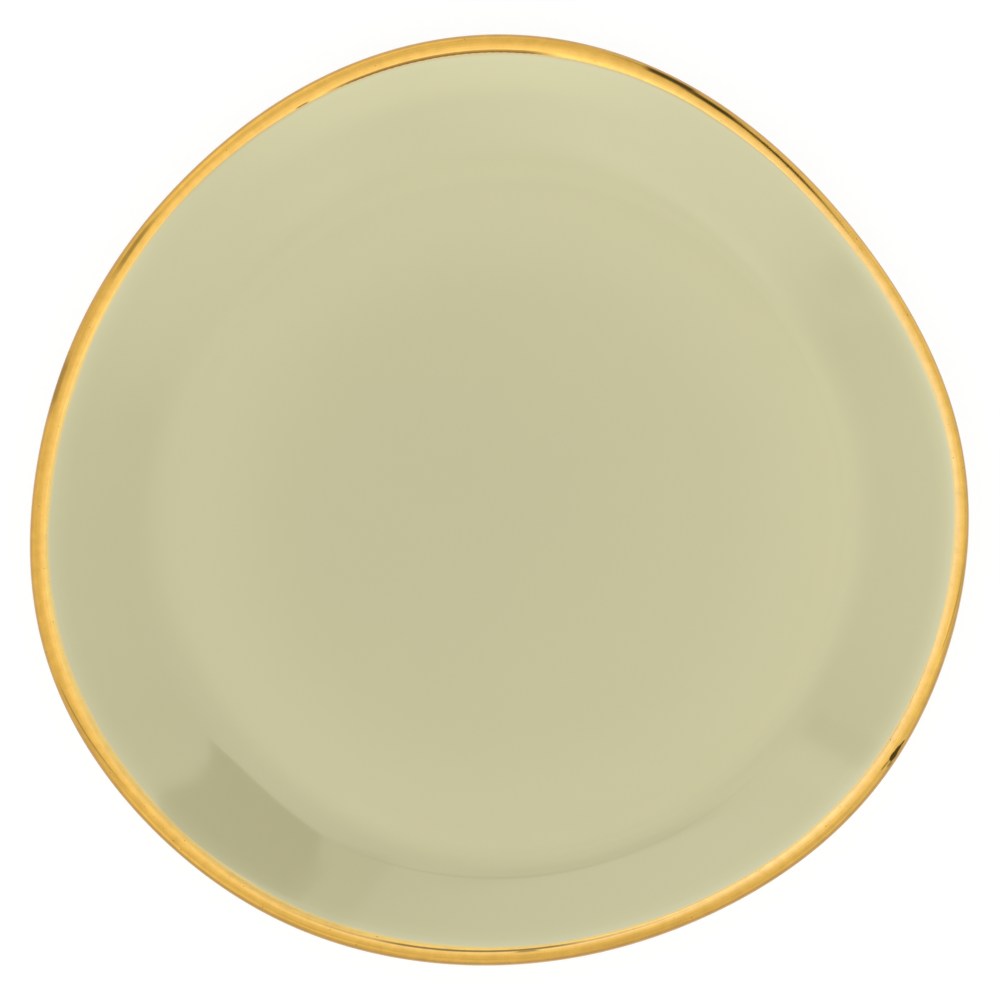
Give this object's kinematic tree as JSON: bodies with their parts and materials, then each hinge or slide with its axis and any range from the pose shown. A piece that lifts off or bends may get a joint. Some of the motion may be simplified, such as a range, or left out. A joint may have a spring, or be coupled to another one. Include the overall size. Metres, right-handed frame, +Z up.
{
  "type": "side plate",
  "caption": "Shallow side plate with an uneven three-lobed outline, a round well, a coved wall, a foot ring and a metal-coloured band on its rounded lip.",
  "frame": {"origin": "middle of the outline's box, on the surface that the plate stands on", "axes": "+Z up; +X and +Y are the picture's right and up, seen from above; the round well lies a little towards +X and -Y"},
  "size_m": [0.1698, 0.1685, 0.02],
  "materials": {
    "clay": "bare fired stoneware, matt",
    "glaze": "pale sage glaze, glossy",
    "gold": "brushed-on gold lustre, satin gloss"
  },
  "bodies": {
    "root": {"stoneware_body": "clay", "glaze_coat": "glaze", "foot_recess_glaze": "glaze", "gold_lip_band": "gold"}
  },
  "joints": []
}
